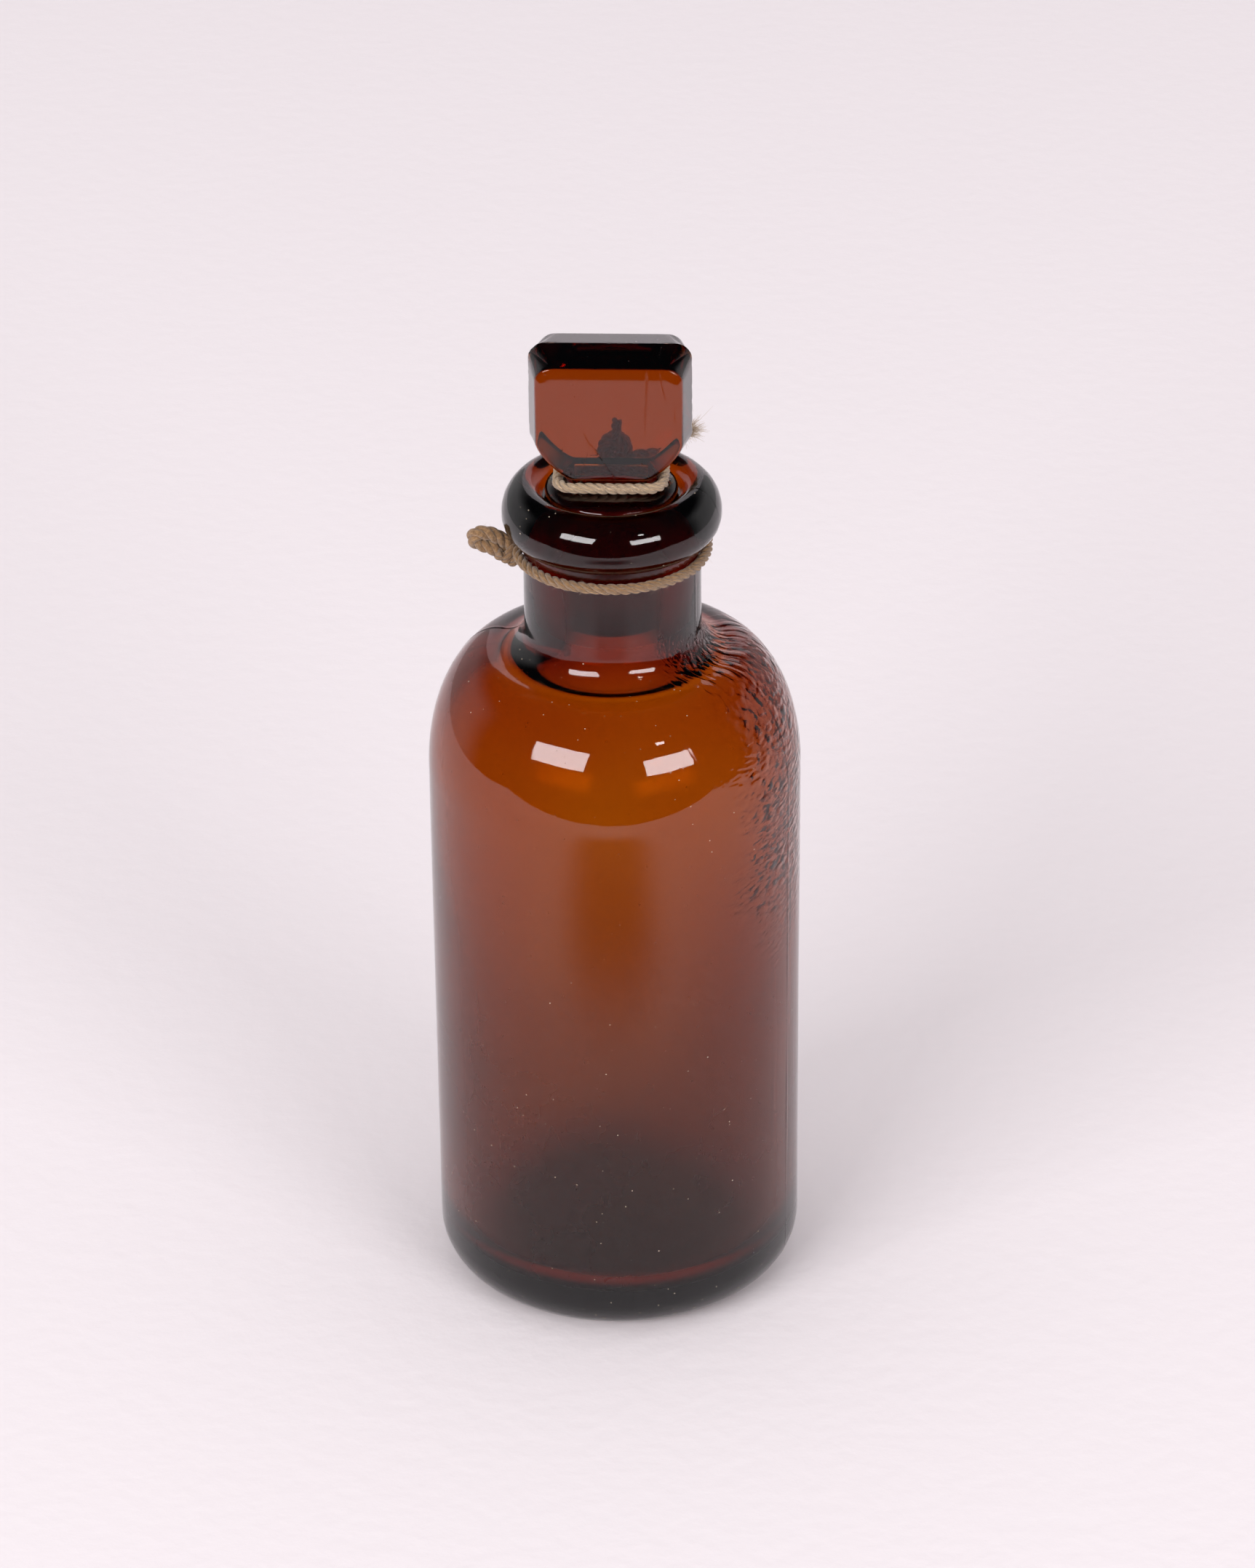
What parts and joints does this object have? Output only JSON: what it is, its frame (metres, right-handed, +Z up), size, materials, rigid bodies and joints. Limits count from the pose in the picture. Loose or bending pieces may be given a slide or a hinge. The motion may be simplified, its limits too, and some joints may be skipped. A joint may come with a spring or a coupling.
{
  "type": "stoppered apothecary bottle",
  "caption": "Round-shouldered amber glass apothecary bottle with a lipped neck, a ground-glass tablet stopper and twine ties.",
  "frame": {"origin": "centre of the resting ring, on the surface that the bottle stands on", "axes": "+Z up along the bottle's axis, +X along the width of the stopper's tablet, -Y the front"},
  "size_m": [0.0644, 0.0644, 0.1789],
  "materials": {
    "bottle_glass": "amber pressed and blown glass, glossy with fine scratches and dust",
    "stopper_glass": "amber pressed glass, glossy, with a ground plug",
    "twine": "three-ply natural twine, dry and hairy"
  },
  "bodies": {
    "bottle": {"bottle": "bottle_glass"},
    "neck_tie": {"neck_twine": "twine", "neck_twine_knot": "twine", "neck_twine_bight": "twine"},
    "stopper": {"stopper": "stopper_glass", "waist_twine": "twine", "waist_twine_knot": "twine", "waist_twine_end": "twine"}
  },
  "joints": [
    {"name": "stopper_turn", "type": "hinge", "parent": "bottle", "child": "neck_tie", "pos_m": [0, 0, 0.141], "axis": [0, 0, 1], "continuous": true},
    {"name": "stopper_lift", "type": "slide", "parent": "neck_tie", "child": "stopper", "axis": [0, 0, 1], "range_m": [0, 0.035]}
  ]
}
